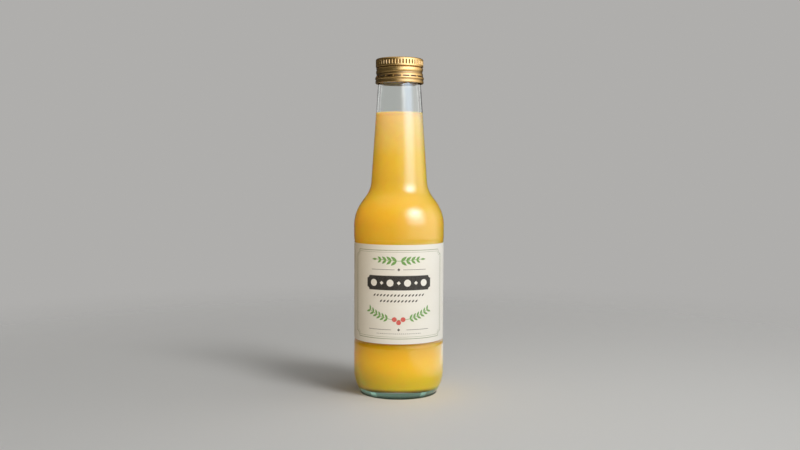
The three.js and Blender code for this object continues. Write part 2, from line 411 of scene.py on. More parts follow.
# %% [markdown]
# ## Outlines and turning
#
# Glass bottles are blown in a mould that is round about one axis, so one outline says all about their
# shape. Outlines are written in millimetres, as (distance from the axis, height), and become metres only
# when the mesh is made. Round stretches are arcs. Long straight stretches get extra points, so that the
# smooth shading of the arcs next to them doesn't leak along them and bend the reflections. A thin sheet is
# made as a skin, and gets its thickness at the end.

# %% Helpers for turned pieces and sheets
ROUND_COLUMNS = 192
LONGEST_STEP = 2.0
SHARP_ANGLE = math.radians(50)


def arc(centre, radius, start, end, steps):
    """Points on a round stretch of an outline, between two angles in degrees about its centre."""
    turns = [math.radians(start + (end - start) * i / steps) for i in range(steps + 1)]
    return [(centre[0] + radius * math.cos(a), centre[1] + radius * math.sin(a)) for a in turns]


def ease(share):
    """A soft step from 0 to 1 as the share goes from 0 to 1."""
    share = min(max(share, 0.0), 1.0)
    return share * share * (3 - 2 * share)


def even_steps(outline):
    """The same outline with points added wherever two are more than one step apart."""
    filled = [outline[0]]
    for (r0, z0), (r1, z1) in zip(outline, outline[1:]):
        count = max(1, math.ceil(math.hypot(r1 - r0, z1 - z0) / LONGEST_STEP))
        filled += [(r0 + (r1 - r0) * i / count, z0 + (z1 - z0) * i / count) for i in range(1, count + 1)]
    return filled


def make_piece(name, vertices, faces):
    """A smooth-shaded mesh object from corners in millimetres."""
    mesh = bpy.data.meshes.new(name)
    mesh.from_pydata([Vector(v) * MM for v in vertices], [], faces)
    mesh.polygons.foreach_set("use_smooth", [True] * len(mesh.polygons))
    return add_object(name, mesh)


def join_rows(rows, closed=True):
    """Faces between rows of corner numbers. A row with one number is a point on the axis."""
    faces = []
    for low, high in zip(rows, rows[1:]):
        columns = max(len(low), len(high))
        for i in range(columns if closed else columns - 1):
            j = (i + 1) % columns
            corners = (low[i % len(low)], low[j % len(low)], high[j % len(high)], high[i % len(high)])
            faces.append(tuple(dict.fromkeys(corners)))
    return faces


def thicken(piece, thickness):
    """Give a piece that is only a skin a thickness in millimetres, under the side that shows."""
    sheet = piece.modifiers.new("Sheet", "SOLIDIFY")
    sheet.thickness = thickness * MM
    sheet.offset = -1
    bpy.context.view_layer.update()
    mesh = bpy.data.meshes.new_from_object(piece.evaluated_get(bpy.context.evaluated_depsgraph_get()))
    piece.modifiers.clear()
    piece.data = mesh
    mesh.set_sharp_from_angle(angle=SHARP_ANGLE)


def turned(name, outline):
    """Spin an outline about the bottle's axis. It runs from the axis, up outside, back to the axis."""
    vertices, rows = [], []
    for radius, height in even_steps(outline):
        columns = ROUND_COLUMNS if radius > 1e-6 else 1
        rows.append(range(len(vertices), len(vertices) + columns))
        turns = [2 * math.pi * i / ROUND_COLUMNS for i in range(columns)]
        vertices += [(radius * math.sin(a), -radius * math.cos(a), height) for a in turns]
    return make_piece(name, vertices, join_rows(rows))


print(f"helpers ready: a turned piece has {ROUND_COLUMNS} columns")

# %% [markdown]
# ## The glass
#
# The bottle has a domed foot that stands on a narrow ring, a long round heel, a straight body with a
# shallow panel where the label is stuck, a round shoulder, and a neck that narrows a little to the mouth.
# The wall is about two millimetres thick and the floor is thicker.
#
# Its inside is modelled as well as its outside. Clear glass shows both: light bends at each surface, and
# the thick foot and the edges of the neck only look right where the two are the true distance apart.

# %% Glass outline
BODY_RADIUS = glass_high.x
WALL = 1.9
FOOT_CORNER = 1.5
HEEL_RADIUS = 22
HEEL_LEAN = 36
FOOT_WIDTH = 1.6
FOOT_DOME = 1.0
FOOT_DOME_STEPS = 12
PANEL_MARGIN = 0.8
PANEL_DEPTH = 0.25
PANEL_STEP = 2.8
PANEL_STEP_POINTS = 6
SHOULDER_START = 103.1
SHOULDER_RADIUS = 24.4
SHOULDER_SLOPE = 36
SHOULDER_STRAIGHT = 4.6
SWEEP_RADIUS = 16.7
NECK_TAPER = 3.9
MOUTH_RADIUS = 12.8
MOUTH_LOW = 187.5
MOUTH_STEP = 2
THROAT_LOW = 181.5
THROAT_HIGH = 188.5
THROAT_RADIUS = 11
BORE_LOW = 195
BORE_RADIUS = 9.6
LIP_RADIUS = 0.8


def foot_dome():
    """The hollow under the foot and the ring that the bottle stands on."""
    heel_reach = (HEEL_RADIUS - FOOT_CORNER) * math.cos(math.radians(HEEL_LEAN))
    foot_radius = BODY_RADIUS - HEEL_RADIUS + heel_reach
    ring = foot_radius - FOOT_WIDTH
    shares = [i / FOOT_DOME_STEPS for i in range(FOOT_DOME_STEPS + 1)]
    return foot_radius, [(ring * share, FOOT_DOME * (1 - share ** 2)) for share in shares]


def heel(foot_radius):
    """The small corner of the foot and the long arc up to the straight body."""
    rise = (HEEL_RADIUS - FOOT_CORNER) * math.sin(math.radians(HEEL_LEAN))
    corner = arc((foot_radius, FOOT_CORNER), FOOT_CORNER, -90, -HEEL_LEAN, steps=10)
    centre = (BODY_RADIUS - HEEL_RADIUS, FOOT_CORNER + rise)
    return corner + arc(centre, HEEL_RADIUS, -HEEL_LEAN, 0, steps=20)[1:]


def label_panel():
    """The shallow panel behind the label, with a soft step at each end."""
    low, high = label_low.z - PANEL_MARGIN, label_high.z + PANEL_MARGIN
    shares = [i / PANEL_STEP_POINTS for i in range(PANEL_STEP_POINTS + 1)]
    lower = [(BODY_RADIUS - PANEL_DEPTH * ease(share), low - PANEL_STEP * (1 - share)) for share in shares]
    upper = [(BODY_RADIUS - PANEL_DEPTH * ease(1 - share), high + PANEL_STEP * share) for share in shares]
    return lower + upper


def shoulder_and_neck(inset, top):
    """Shoulder, sweep and neck up to a height, set in from the outside by an equal amount all along."""
    slope, taper = math.radians(SHOULDER_SLOPE), math.radians(NECK_TAPER)
    centre = (BODY_RADIUS - SHOULDER_RADIUS, SHOULDER_START)
    reach = SHOULDER_RADIUS + SWEEP_RADIUS
    sweep_centre = (centre[0] + reach * math.cos(slope) - SHOULDER_STRAIGHT * math.sin(slope),
                    centre[1] + reach * math.sin(slope) + SHOULDER_STRAIGHT * math.cos(slope))
    shoulder = arc(centre, SHOULDER_RADIUS - inset, 0, SHOULDER_SLOPE, steps=24)
    sweep = arc(sweep_centre, SWEEP_RADIUS + inset, 180 + SHOULDER_SLOPE, 180 + NECK_TAPER, steps=24)
    neck_radius, neck_low = sweep[-1]
    return shoulder + sweep + [(neck_radius - (top - neck_low) * math.tan(taper), top)]


foot_radius, hollow = foot_dome()
mouth_high = glass_high.z
lip = arc((MOUTH_RADIUS - LIP_RADIUS, mouth_high - LIP_RADIUS), LIP_RADIUS, 0, 90, steps=5)
outside = (hollow + heel(foot_radius) + label_panel() + shoulder_and_neck(0, MOUTH_LOW)
           + [(MOUTH_RADIUS, MOUTH_LOW + MOUTH_STEP)] + lip)
print(f"outer outline: {len(outside)} points, standing ring {2 * foot_radius - 2 * FOOT_WIDTH:.1f} mm across")

# %% Room inside the glass
FLOOR_THICKNESS = 5.0
FLOOR_DOME = 0.3
FLOOR_CORNER = 18
FLOOR_DOME_STEPS = 10


def inner_floor(gap):
    """The floor and the rounded corner inside the glass, made smaller all round by a gap."""
    middle = BODY_RADIUS - WALL - FLOOR_CORNER
    height = FLOOR_THICKNESS + gap
    shares = [i / FLOOR_DOME_STEPS for i in range(FLOOR_DOME_STEPS)]
    dome = [(middle * share, height + FLOOR_DOME * (1 - share ** 2)) for share in shares]
    return dome + arc((middle, FLOOR_THICKNESS + FLOOR_CORNER), FLOOR_CORNER - gap, -90, 0, steps=16)


inside = inner_floor(0) + shoulder_and_neck(WALL, THROAT_LOW)
inside += [(THROAT_RADIUS, THROAT_HIGH), (BORE_RADIUS, BORE_LOW), (BORE_RADIUS, mouth_high)]
glass = turned("bottle_glass", outside + inside[::-1])
print(f"glass: {len(glass.data.polygons)} faces, {2 * BODY_RADIUS:.1f} mm across the body")

# %% [markdown]
# ## Clear glass as a material
#
# One Principled shader with full transmission and a low roughness is glass. Real bottle glass isn't quite
# colourless: iron in the sand makes it faintly green, which shows where it is thick, at the foot and at the
# edges. The tint therefore grows towards the foot, and there it is made much darker than the green alone:
# that is painted shade for the shadowed table seen through the foot. In the lowest millimetres it turns
# nearly black, a painted shadow line where the foot meets the table. The mould also leaves a very gentle
# ripple, which keeps the reflections from looking drawn with a ruler.
#
# The glass casts no shadow and is hidden from diffuse rays. Light then reaches the juice behind it
# directly, as it nearly does in reality, and the picture stays free of grain.

# %% Clear glass
GLASS_TINT_THIN = (0.955, 0.98, 0.968)
# Partly the real green of thick glass, partly painted shade for the shadowed table seen through the foot.
GLASS_TINT_AND_SHADE_THICK = (0.06, 0.20, 0.13)
# Painted shadow: a nearly black tint in the lowest millimetres, where the foot meets the table.
GLASS_FOOT_SHADOW_LINE = (0.005, 0.02, 0.012)
GLASS_THINS_OUT = (3.6 * MM, 6.2 * MM)
GLASS_FOOT_SHADOW_ENDS = (1.2 * MM, 2.8 * MM)
GLASS_RIPPLE = 0.4 * MM

clear_glass, tree, shader = new_material("Clear glass", Roughness=0.0, IOR=1.52, Transmission_Weight=1.0)
place = add_node(tree, "ShaderNodeTexCoord").outputs["Object"]
height = add_node(tree, "ShaderNodeSeparateXYZ", Vector=place).outputs["Z"]
tint = mix_colours(tree, soft_range(tree, height, *GLASS_THINS_OUT), GLASS_TINT_AND_SHADE_THICK, GLASS_TINT_THIN)
# Painted shadow line at the very foot, laid over the tint.
tint = mix_colours(tree, soft_range(tree, height, *GLASS_FOOT_SHADOW_ENDS), GLASS_FOOT_SHADOW_LINE, tint)
tree.links.new(tint, shader.inputs["Base Color"])
ripple = add_node(tree, "ShaderNodeBump", Strength=0.07, Distance=GLASS_RIPPLE,
                  Height=use_group(tree, soft_patches, size=14 * MM, stretch=(1, 1, 2.5)))
tree.links.new(ripple.outputs["Normal"], shader.inputs["Normal"])
glass.data.materials.append(clear_glass)
glass.visible_shadow = False
glass.visible_diffuse = False
print("glass is tinted from", GLASS_TINT_THIN, "to", GLASS_TINT_AND_SHADE_THICK, "at the foot")

# %% [markdown]
# ## The juice
#
# The juice touches the glass everywhere, so nothing may show between the two. If both surfaces lay in the
# same place they would flicker, and with a gap the glass would look like a jacket round a yellow stick. So
# the juice reaches a twentieth of a millimetre into the wall. At the top it climbs the glass in a small
# curved edge.

# %% Juice outline
INTO_WALL = 0.05
EDGE_CLIMB = 0.15
EDGE_WIDTH = 2.2 * EDGE_CLIMB
EDGE_STEPS = 8

fill = juice_high.z
side = shoulder_and_neck(WALL - INTO_WALL, fill + EDGE_CLIMB)
edge_radius = side[-1][0]
curl = [i / EDGE_STEPS for i in range(EDGE_STEPS, -1, -1)]
surface_edge = [(edge_radius - INTO_WALL - EDGE_WIDTH * (1 - share), fill + EDGE_CLIMB * share ** 2)
                for share in curl]
juice = turned("cloudy_juice", inner_floor(-INTO_WALL) + side + surface_edge + [(0, fill)])
print(f"juice: level at {fill:.1f} mm, {2 * edge_radius:.1f} mm across there")

# %% [markdown]
# ## Cloudy juice as a material
#
# Cloudy juice is full of fine pulp that scatters light, so light goes in a few millimetres and comes out
# again, warmer. That is subsurface scattering. Its colour is a clear yellow, set by height, and the tones by
# height carry painted light and shade as well as the juice's own tone: a painted dark line of shade at the
# glass floor, a painted bright band just above it for the light from the table, deepest a little higher,
# paler up the neck, and duller and greyer at the very top. Soft patches and fine pulp keep it from looking
# like plastic.

# %% Cloudy juice
# Tones by height: the juice's own tone mixed with painted light and shade.
JUICE_TONE_AND_LIGHT_BY_HEIGHT = (
    # Painted shade: a dark line where the juice meets the glass floor.
    (FLOOR_THICKNESS, (0.08, 0.07, 0.01)),
    # Painted light: a brighter band above the floor, for the light from the table.
    (FLOOR_THICKNESS + 1.2, (1.0, 0.71, 0.02)),
    (18, (0.90, 0.565, 0.008)),
    (34, (0.635, 0.345, 0.003)),
    (100, (0.685, 0.44, 0.037)),
    (122, (0.605, 0.425, 0.045)),
    (145, (0.655, 0.478, 0.062)),
    (fill - 3, (0.63, 0.55, 0.27)),
    (fill, (0.45, 0.42, 0.27)),
)
JUICE_DEEP = (0.80, 0.40, 0.004)
JUICE_PALE = (0.86, 0.62, 0.16)
JUICE_DEPTH = (16 * MM, 4.5 * MM, 0.9 * MM)
JUICE_PATCHES = 0.1
JUICE_PULP = 0.06

cloudy_juice, tree, shader = new_material(
    "Cloudy juice", Roughness=0.45, Specular_IOR_Level=0.0,
    Subsurface_Weight=1.0, Subsurface_Radius=JUICE_DEPTH, Subsurface_Scale=1.0)
place = add_node(tree, "ShaderNodeTexCoord").outputs["Object"]
height = add_node(tree, "ShaderNodeSeparateXYZ", Vector=place).outputs["Z"]
share = add_math(tree, "DIVIDE", height, fill * MM)
ramp = add_node(tree, "ShaderNodeValToRGB", Fac=share)
stops = ramp.color_ramp.elements
while len(stops) < len(JUICE_TONE_AND_LIGHT_BY_HEIGHT):
    stops.new(0.5)
for stop, (stop_height, stop_colour) in zip(stops, JUICE_TONE_AND_LIGHT_BY_HEIGHT):
    stop.position = stop_height / fill
    stop.color = (*stop_colour, 1)
patches = use_group(tree, soft_patches, size=22 * MM, stretch=(1, 1, 1.6))
pulp = use_group(tree, fine_grain, size=1.6 * MM)
colour = ramp.outputs["Color"]
colour = mix_colours(tree, add_math(tree, "MULTIPLY", patches, JUICE_PATCHES), colour, JUICE_DEEP)
colour = mix_colours(tree, add_math(tree, "MULTIPLY", pulp, JUICE_PULP), colour, JUICE_PALE)
tree.links.new(colour, shader.inputs["Base Color"])
juice.data.materials.append(cloudy_juice)
print(f"juice with {len(JUICE_TONE_AND_LIGHT_BY_HEIGHT)} tones from its foot to its top")

# %% [markdown]
# ## The cap
#
# A roll-on cap starts as a plain cup of thin aluminium. On the bottle, rollers press it into the glass
# thread, and tuck its lower edge under a bead of the glass. A row of short slits, with little bridges
# between them, lets the lower band tear off when the cap is first turned. Near the top, pressed flutes give
# the fingers a grip.
#
# All of that is one sheet, so it is modelled as one: a grid of corners whose radius is a formula of angle
# and height. The slits are faces left out, and a Solidify modifier gives the sheet its thickness.

# %% Cap sizes, heights measured from its lower edge
CAP_RADIUS = 14.5
CAP_SHEET = 0.25
CAP_HEIGHT = cap_high.z - cap_low.z
CAP_EDGE_RADIUS = 1.0
FLUTES = 45
FLUTE_DEPTH = 0.5
FLUTE_LOW = 10.7
FLUTE_HIGH = 13.8
FLUTE_WIDTH = 0.5
FLUTE_STRAIGHT = 0.55
NECKING_HEIGHT = 9.6
NECKING_DEPTH = 0.45
NECKING_WIDTH = 0.55
THREAD_RADIUS = 14.35
THREAD_PITCH = 3.6
THREAD_DEPTH = 0.42
THREAD_LOW = 4.5
THREAD_HIGH = 9.1
THREAD_END = 0.7
THREAD_SHARPNESS = 1.5
SLIT_LOW = 3.65
SLIT_HIGH = 4.15
# How far the painted shade reaches from a slit.
SLIT_SHADE_REACH = 0.6
BRIDGES = 18
BRIDGE_WIDTH = math.radians(4)
BRIDGE_FIRST = math.radians(5.5)
BAND_RADIUS = cap_high.x
BAND_LOW_RADIUS = 14.7
BAND_GROOVE_HEIGHT = 2.1
BAND_GROOVE_DEPTH = 0.28
BAND_GROOVE_WIDTH = 0.6
WALL_STEP = 0.6
TUCK_RADIUS = 13.7
print(f"cap: {CAP_HEIGHT:.1f} mm high, {2 * BAND_RADIUS:.1f} mm across the band")

# %% Formulas for the cap's sheet
# Strengths of the painted shade in the grooves and on the tamper band.
NECKING_SHADE = 1.1
BAND_GROOVE_SHADE = 0.3
BAND_SHADE = 0.4
BAND_SHADE_FADE = 1.2


def dip(height, middle, half_width):
    """1 in the middle of a rolled groove, falling softly to 0 at its borders."""
    return 1 - ease(abs(height - middle) / half_width)


def wall_radius(height):
    """The cap's wall as it was before the thread and the flutes were pressed."""
    radius = BAND_LOW_RADIUS
    radius += (BAND_RADIUS - BAND_LOW_RADIUS) * ease((height - BAND_GROOVE_HEIGHT) / WALL_STEP)
    radius -= BAND_GROOVE_DEPTH * dip(height, BAND_GROOVE_HEIGHT, BAND_GROOVE_WIDTH)
    radius += (THREAD_RADIUS - BAND_RADIUS) * ease((height - SLIT_LOW) / WALL_STEP)
    radius += (CAP_RADIUS - THREAD_RADIUS) * ease((height - NECKING_HEIGHT) / NECKING_WIDTH)
    return radius - NECKING_DEPTH * dip(height, NECKING_HEIGHT, NECKING_WIDTH)


def groove_painted_shade(height):
    """How much painted shade darkens the two rolled grooves and the tamper band."""
    necking = NECKING_SHADE * dip(height, NECKING_HEIGHT, NECKING_WIDTH)
    band_groove = BAND_GROOVE_SHADE * dip(height, BAND_GROOVE_HEIGHT, BAND_GROOVE_WIDTH)
    return necking + band_groove + BAND_SHADE * (1 - ease((height - BAND_GROOVE_HEIGHT) / BAND_SHADE_FADE))


def flute_dent(angle, height):
    """How deep the sheet is pressed in at a flute: a round-ended groove at every pitch."""
    turns = angle * FLUTES / (2 * math.pi)
    across = abs(turns - round(turns)) * 2
    half = (FLUTE_HIGH - FLUTE_LOW) / 2
    along = abs(height - (FLUTE_LOW + FLUTE_HIGH) / 2) / half
    reach = math.hypot(across / FLUTE_WIDTH, max(0.0, along - FLUTE_STRAIGHT) / (1 - FLUTE_STRAIGHT))
    return FLUTE_DEPTH * (1 - ease(reach))


def in_bridge(angle):
    """True where a bridge holds the band to the cap."""
    step = 2 * math.pi / BRIDGES
    off = (angle - BRIDGE_FIRST) / step
    return abs(off - round(off)) * step < BRIDGE_WIDTH / 2


def slit_painted_shade(angle, height):
    """How much painted shade darkens the sheet above and below a slit, except at the bridges."""
    off_slit = max(0.0, abs(height - (SLIT_LOW + SLIT_HIGH) / 2) - (SLIT_HIGH - SLIT_LOW) / 2)
    return 0.0 if in_bridge(angle) else 1 - ease(off_slit / SLIT_SHADE_REACH)


def thread_dent(angle, height):
    """How deep the roller pressed the thread, which climbs one pitch for each turn to the right."""
    turns = (height - SLIT_HIGH) / THREAD_PITCH - angle / (2 * math.pi)
    ends = min(ease((height - THREAD_LOW) / THREAD_END), ease((THREAD_HIGH - height) / THREAD_END))
    groove = (0.5 - 0.5 * math.cos(2 * math.pi * turns)) ** THREAD_SHARPNESS
    return THREAD_DEPTH * groove * ends


print(f"{FLUTES} flutes {flute_dent(0, (FLUTE_LOW + FLUTE_HIGH) / 2):.2f} mm deep")

# %% Press the cap
FLUTE_COLUMN_SHARES = (-0.5, -0.3, -0.22, -0.15, -0.07, 0.0, 0.07, 0.15, 0.22, 0.3)
WALL_ROWS = 80
WALL_LOW = 0.55
TUCK_RISE = 0.12
TUCK_WIDTH = 0.35
ROLL_RADIUS = 0.5
CROWN_RINGS = 8
CROWN_RING_WIDTH = 1.6
SLIT_SHADE_STRENGTH = 1.2
MOST_SHADE = 1.25

angles = [2 * math.pi / FLUTES * (flute + share) for flute in range(FLUTES) for share in FLUTE_COLUMN_SHARES]
edge_centre = (CAP_RADIUS - CAP_EDGE_RADIUS, CAP_HEIGHT - CAP_EDGE_RADIUS)
tuck = [(TUCK_RADIUS, TUCK_RISE), (TUCK_RADIUS + TUCK_WIDTH, 0.0)]
tuck += arc((BAND_LOW_RADIUS - ROLL_RADIUS, ROLL_RADIUS), ROLL_RADIUS, -80, -12, steps=5)
heights = [WALL_LOW + (edge_centre[1] - WALL_LOW) * i / WALL_ROWS for i in range(WALL_ROWS + 1)]
heights = sorted(set(heights) | {SLIT_LOW, SLIT_HIGH})
crown = arc(edge_centre, CAP_EDGE_RADIUS, 10, 90, steps=8)
crown += [(edge_centre[0] - CROWN_RING_WIDTH * i, CAP_HEIGHT) for i in range(1, CROWN_RINGS + 1)]

# The list 'pressed' holds a painted shade for each corner: darker in the flutes, the grooves, on the band and
# beside the slits.
vertices, rows, pressed = [], [], []


def add_ring(radius_at, height, dent_at=lambda angle: 0.0):
    """Add one ring of corners to the cap, pressed in by a dent at each angle."""
    rows.append(range(len(vertices), len(vertices) + len(angles)))
    for angle in angles:
        dent = dent_at(angle)
        radius = radius_at - dent
        # Painted shade from the flute dent, the grooves, the band and the slit.
        shade = dent / FLUTE_DEPTH + groove_painted_shade(height) + SLIT_SHADE_STRENGTH * slit_painted_shade(angle, height)
        pressed.append(min(MOST_SHADE, shade))
        vertices.append((radius * math.sin(angle), -radius * math.cos(angle), height + cap_low.z))


for radius, height in tuck:
    add_ring(radius, height)
first_wall_row = len(rows)
for height in heights:
    add_ring(wall_radius(height), height,
             lambda angle: flute_dent(angle, height) + thread_dent(angle, height))
for radius, height in crown:
    add_ring(radius, height)
rows.append(range(len(vertices), len(vertices) + 1))
vertices.append((0, 0, CAP_HEIGHT + cap_low.z))
pressed.append(0.0)
slit_low_row, slit_high_row = (first_wall_row + heights.index(edge) for edge in (SLIT_LOW, SLIT_HIGH))
print(f"cap grid: {len(rows)} rows of {len(angles)} corners, slit from row {slit_low_row} to {slit_high_row}")

# %% Cut the slits and give the sheet its thickness
def is_slit(face):
    """True for a face between the slit's two edges that isn't part of a bridge."""
    if not all(rows[slit_low_row][0] <= v <= rows[slit_high_row][-1] for v in face):
        return False
    x = sum(vertices[v][0] for v in face)
    y = sum(vertices[v][1] for v in face)
    return not in_bridge(math.atan2(x, -y))


faces = [face for face in join_rows(rows) if not is_slit(face)]
cap = make_piece("gold_cap", vertices, faces)
# The painted shade is stored on the mesh as the attribute 'pressed'.
painted_shade_layer = cap.data.attributes.new("pressed", "FLOAT", "POINT")
painted_shade_layer.data.foreach_set("value", pressed)
thicken(cap, CAP_SHEET)
print(f"cap: {len(cap.data.polygons)} faces, {BRIDGES} bridges")

# %% [markdown]
# ## Gold lacquer as a material
#
# The sheet is rolled aluminium under a clear gold lacquer. Its colour carries painted shade: it is darkened
# in the flutes and the two rolled grooves, on the tamper band and beside the slits, where less light falls.
# It is also rubbed paler on the ridges that touch other bottles in the crate. The grid above stored a shade
# for each corner, and the material reads that value back.

# %% Gold lacquer
GOLD = (0.84, 0.49, 0.10)
# Nearly black: the colour of the painted shade in flutes, grooves, band and slits.
GOLD_PAINTED_SHADE = (0.13, 0.055, 0.008)
GOLD_EDGE = (0.70, 0.48, 0.22, 1)
GOLD_RUBBED = (0.88, 0.60, 0.22)
GOLD_SHADE_STRENGTH = 0.8
GOLD_WEAR = 0.35
GOLD_ROUGHNESS = (0.32, 0.40)

gold_lacquer, tree, shader = new_material("Gold lacquer", Metallic=1.0, Specular_Tint=GOLD_EDGE,
                                          Coat_Weight=1.0, Coat_Roughness=0.25, Coat_IOR=1.7)
# Reads back the painted shade of each corner.
painted_shade_in = add_node(tree, "ShaderNodeAttribute", {"attribute_name": "pressed"}).outputs["Fac"]
patches = use_group(tree, soft_patches, size=6 * MM)
ridges = add_math(tree, "SUBTRACT", 1.0, painted_shade_in)
rubbed = add_math(tree, "MULTIPLY", ridges, add_math(tree, "MULTIPLY", patches, GOLD_WEAR))
colour = mix_colours(tree, add_math(tree, "MULTIPLY", painted_shade_in, GOLD_SHADE_STRENGTH), GOLD, GOLD_PAINTED_SHADE)
colour = mix_colours(tree, rubbed, colour, GOLD_RUBBED)
tree.links.new(colour, shader.inputs["Base Color"])
grain = use_group(tree, fine_grain, size=0.5 * MM, stretch=(1, 1, 3))
roughness = add_node(tree, "ShaderNodeMapRange", Value=grain,
                     To_Min=GOLD_ROUGHNESS[0], To_Max=GOLD_ROUGHNESS[1])
tree.links.new(roughness.outputs["Result"], shader.inputs["Roughness"])
orange_peel = add_node(tree, "ShaderNodeBump", Strength=0.1, Distance=0.01 * MM,
                       Height=use_group(tree, soft_patches, size=1.4 * MM))
tree.links.new(orange_peel.outputs["Normal"], shader.inputs["Normal"])
cap.data.materials.append(gold_lacquer)
print("gold lacquer", GOLD)

# %% [markdown]
# ## The label
#
# The label is a strip of uncoated paper, wrapped round the panel and ending short of itself at the back. It
# is easiest to lay out flat, as it was printed, and then to wrap. A flat place is (across, up) in
# millimetres from the middle of the label's lower edge, and one function carries it onto the bottle. Paper
# and print both use it, so the print can't slip off the paper.

# %% Wrap flat shapes onto the bottle
LABEL_RADIUS = 27.47
LABEL_HEIGHT = label_high.z - label_low.z
PAPER_THICKNESS = 0.18
PAPER_ROWS = 30
WRAP_COLUMN = 1.0
BARE_STRIP = math.radians(45)
LABEL_HALF = LABEL_RADIUS * (math.pi - BARE_STRIP / 2)


def wrap(across, up, lift=0.0):
    """The place on the bottle of a flat place on the label, lifted off the paper by a small distance."""
    angle = across / LABEL_RADIUS
    radius = LABEL_RADIUS + lift
    return radius * math.sin(angle), -radius * math.cos(angle), label_low.z + up


def paper_columns():
    """Places across the label, one column apart, from end to end."""
    count = math.floor(LABEL_HALF / WRAP_COLUMN)
    return [-LABEL_HALF] + [i * WRAP_COLUMN for i in range(-count, count + 1)] + [LABEL_HALF]


columns = paper_columns()
ups = [LABEL_HEIGHT * i / PAPER_ROWS for i in range(PAPER_ROWS + 1)]
vertices = [wrap(across, up) for up in ups for across in columns]
rows = [range(i * len(columns), (i + 1) * len(columns)) for i in range(len(ups))]
label = make_piece("paper_label", vertices, join_rows(rows, closed=False))
thicken(label, PAPER_THICKNESS)
print(f"label: {2 * LABEL_HALF:.0f} x {LABEL_HEIGHT:.1f} mm, laid flat")

# %% Label paper
PAPER = (0.715, 0.705, 0.655)
PAPER_SHADE = (0.64, 0.60, 0.515)
FIBRES_SHOW = 0.16
PATCHES_SHOW = 0.14

label_paper, tree, shader = new_material("Label paper", Roughness=0.62)
fibres = use_group(tree, fine_grain, size=1.1 * MM, stretch=(1.6, 1.6, 0.7))
patches = use_group(tree, soft_patches, size=12 * MM)
fibre_shade = add_math(tree, "MULTIPLY", fibres, FIBRES_SHOW)
shade = add_math(tree, "ADD", fibre_shade, add_math(tree, "MULTIPLY", patches, PATCHES_SHOW))
tree.links.new(mix_colours(tree, shade, PAPER, PAPER_SHADE), shader.inputs["Base Color"])
tooth = add_node(tree, "ShaderNodeBump", Strength=0.35, Distance=0.03 * MM, Height=fibres)
tree.links.new(tooth.outputs["Normal"], shader.inputs["Normal"])
label.data.materials.append(label_paper)
print("paper", PAPER)

# %% [markdown]
# ## The print
#
# The print is a generic one, of simple shapes in black, grey, green and red ink. Thin sheets of ink cut to
# shape stay sharp at any size: each shape is a flat outline, cut into one-millimetre columns and wrapped with
# the same function as the paper, a hair above it.

# %% Shapes to print with
INK_LIFT = 0.015


def bar(middle, up, width, height):
    """A plain bar by its middle and size."""
    x0, x1, y0, y1 = middle - width / 2, middle + width / 2, up - height / 2, up + height / 2
    return [(x0, y0), (x1, y0), (x1, y1), (x0, y1)]


def disc_shape(middle, up, radius, corners=28):
    """A round dot. Four corners make a lozenge."""
    turns = [2 * math.pi * i / corners for i in range(corners)]
    return [(middle + radius * math.cos(a), up + radius * math.sin(a)) for a in turns]


def leaf(stem, length, width, angle):
    """A pointed leaf that grows from a place on its stem, at an angle in degrees."""
    turn = math.radians(angle)
    steps = 10
    upper = [(i / steps, math.sin(math.pi * (i / steps) ** 0.85)) for i in range(steps + 1)]
    outline = upper + [(x, -y) for x, y in upper[-2:0:-1]]
    return [(stem[0] + x * length * math.cos(turn) - y * width / 2 * math.sin(turn),
             stem[1] + x * length * math.sin(turn) + y * width / 2 * math.cos(turn)) for x, y in outline]


def line(points, width):
    """Bars that follow a row of points, each as one four-cornered shape."""
    shapes = []
    for (x0, y0), (x1, y1) in zip(points, points[1:]):
        length = math.hypot(x1 - x0, y1 - y0)
        nx, ny = -(y1 - y0) / length * width / 2, (x1 - x0) / length * width / 2
        shapes.append([(x0 - nx, y0 - ny), (x1 - nx, y1 - ny), (x1 + nx, y1 + ny), (x0 + nx, y0 + ny)])
    return shapes


def ticket(half_width, low, high, notch, steps=8):
    """A rectangle with a round bite out of each corner, as a closed row of points."""
    points = []
    right, left = half_width, -half_width
    for x, y, start in ((right, high, 270), (left, high, 360), (left, low, 90), (right, low, 180)):
        points += arc((x, y), notch, start, start - 90, steps)
    return points + points[:1]


print("shapes: bar, disc, leaf, line and ticket frame")

# %% A helper that prints shapes in one ink
def print_shapes(name, shapes, ink, layer=1):
    """Cut flat shapes into columns, wrap them just above the paper and give them an ink."""
    flat = bmesh.new()
    for shape in shapes:
        flat.faces.new([flat.verts.new((x, y, 0)) for x, y in shape])
    bmesh.ops.triangulate(flat, faces=flat.faces[:])
    cuts = math.ceil(max(abs(v.co.x) for v in flat.verts) / WRAP_COLUMN)
    for i in range(-cuts, cuts + 1):
        geometry = flat.verts[:] + flat.edges[:] + flat.faces[:]
        bmesh.ops.bisect_plane(flat, geom=geometry, plane_co=(i * WRAP_COLUMN, 0, 0), plane_no=(1, 0, 0))
    for vertex in flat.verts:
        vertex.co = Vector(wrap(vertex.co.x, vertex.co.y, INK_LIFT * layer)) * MM
    bmesh.ops.recalc_face_normals(flat, faces=flat.faces[:])
    mesh = bpy.data.meshes.new(name)
    flat.to_mesh(mesh)
    flat.free()
    mesh.materials.append(ink)
    return add_object(name, mesh)


def new_ink(name, colour, fade):
    """A matt ink that lets a little of the paper's fibres and tone through."""
    ink, tree, shader = new_material(name, Roughness=0.5)
    fibres = use_group(tree, fine_grain, size=0.7 * MM)
    worn = add_math(tree, "MULTIPLY", fibres, fade)
    tree.links.new(mix_colours(tree, worn, colour, PAPER), shader.inputs["Base Color"])
    return ink


